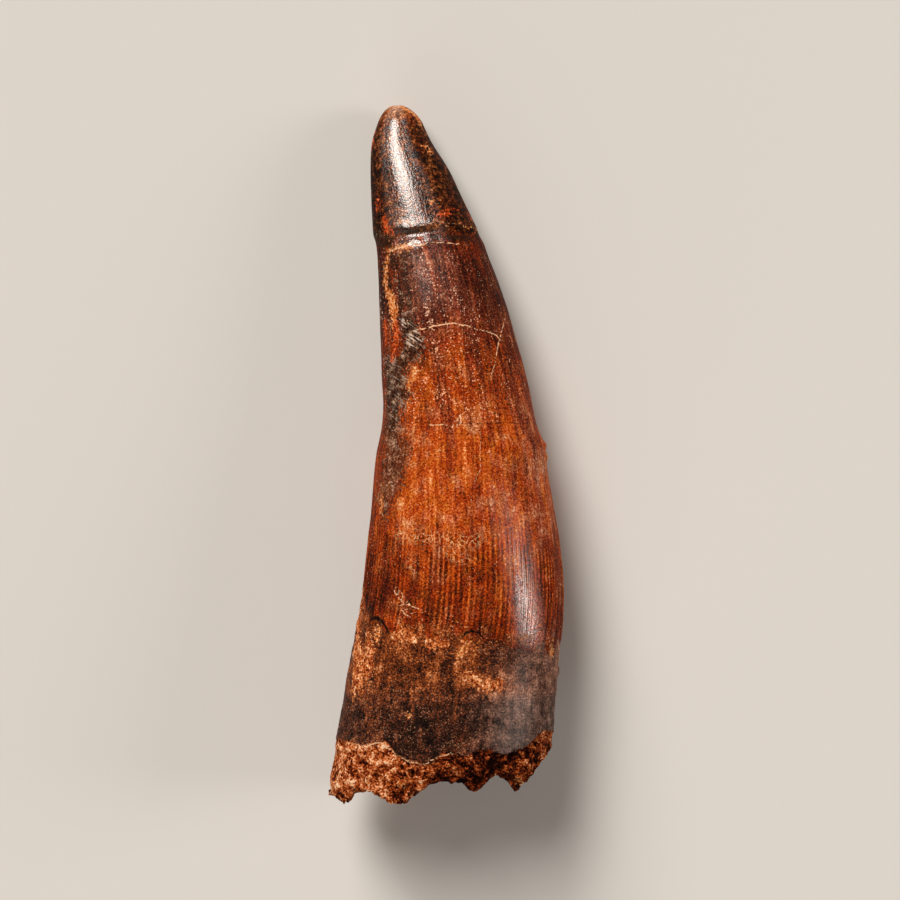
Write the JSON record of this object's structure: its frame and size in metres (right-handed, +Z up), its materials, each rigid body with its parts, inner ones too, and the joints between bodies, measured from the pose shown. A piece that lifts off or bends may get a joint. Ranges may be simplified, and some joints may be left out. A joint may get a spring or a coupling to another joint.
{
  "type": "spinosaurus tooth",
  "caption": "Fossil spinosaurus tooth with a long curved brown crown, fine ridges, a worn tip and a broken porous root, lying on its side.",
  "frame": {"origin": "on the surface that the tooth lies on, below the middle of the tooth's box", "axes": "+X across the tooth towards its convex edge, +Y from the broken root to the tip, +Z up from the surface"},
  "size_m": [0.0339, 0.1002, 0.0244],
  "materials": {
    "fossil": "glossy orange-brown enamel on the crown, dull dark root, rough porous broken base"
  },
  "bodies": {
    "root": {"tooth": "fossil"}
  },
  "joints": []
}
